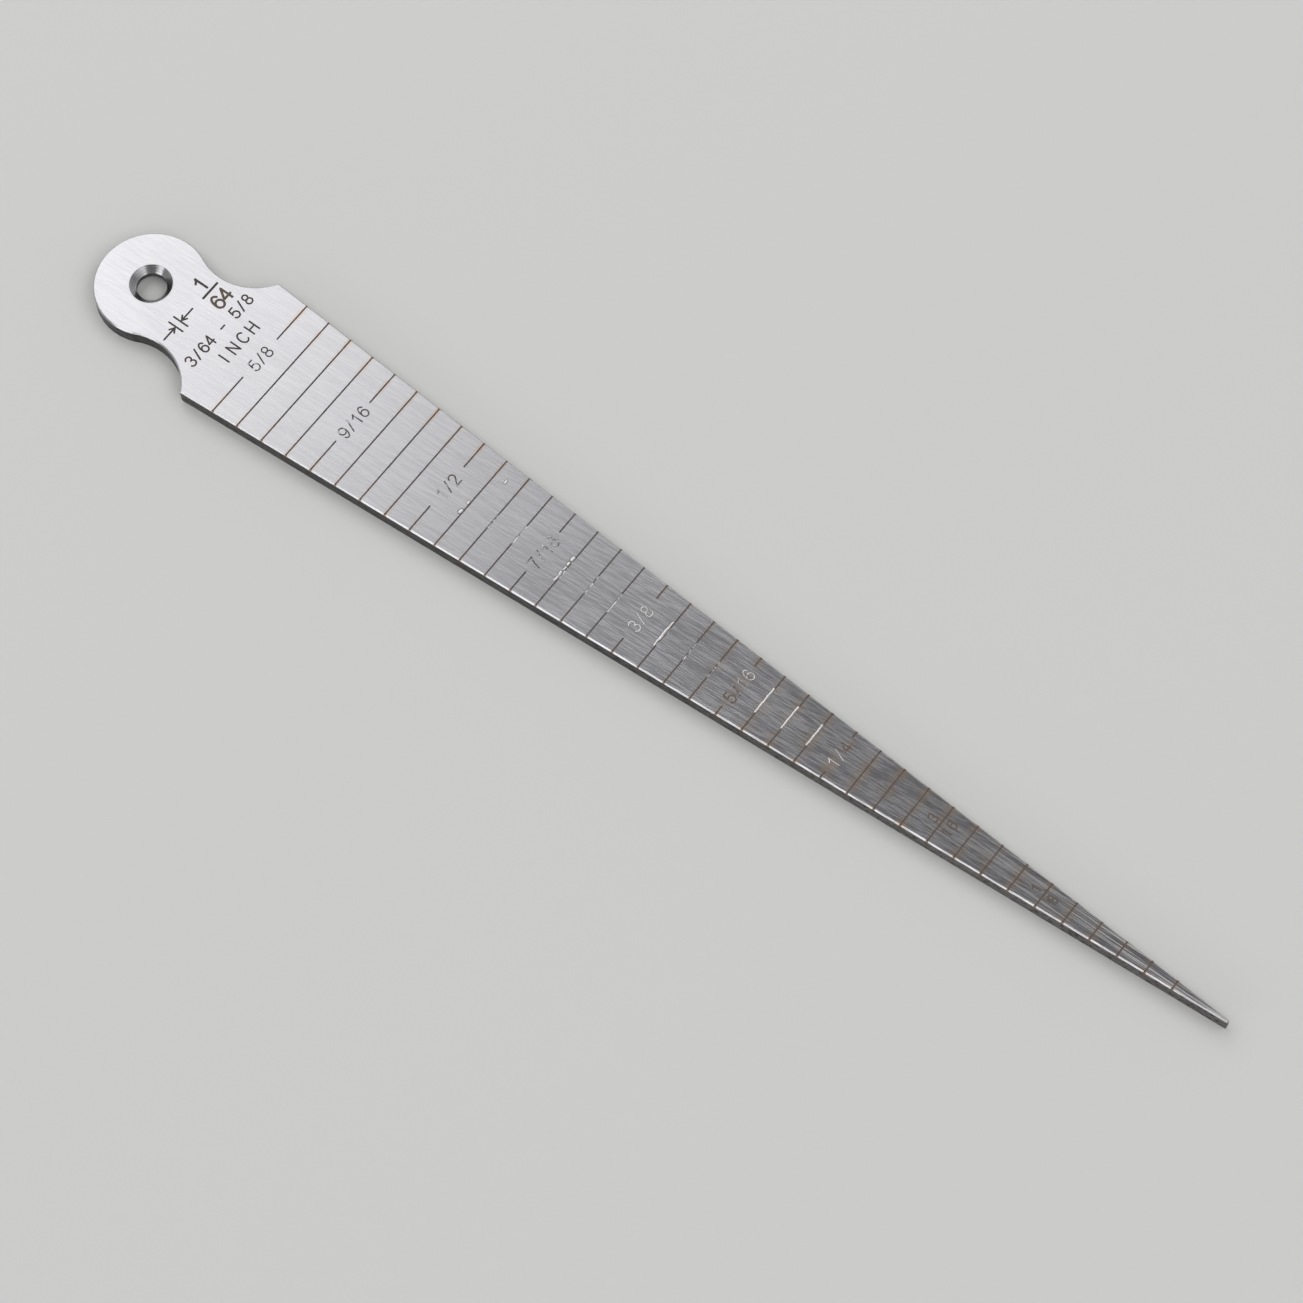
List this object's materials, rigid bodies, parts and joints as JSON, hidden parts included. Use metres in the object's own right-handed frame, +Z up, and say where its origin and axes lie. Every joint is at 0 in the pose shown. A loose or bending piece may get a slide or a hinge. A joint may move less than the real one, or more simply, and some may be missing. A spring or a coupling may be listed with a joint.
{
  "type": "taper gauge",
  "caption": "Flat steel taper gauge with engraved inch graduations on a long wedge blade and a round head with a hanging hole, pushed into a gap or bore to read its width.",
  "frame": {"origin": "middle of the gauge's length and width on its underside, where it lies on a table", "axes": "+X along the blade from the head to the tip, +Z up through the plate to the engraved face"},
  "size_m": [0.1452, 0.0164, 0.002],
  "materials": {
    "steel": "ground and brushed along the blade, with an engraved scale"
  },
  "bodies": {
    "root": {"taper_gauge": "steel"}
  },
  "joints": []
}
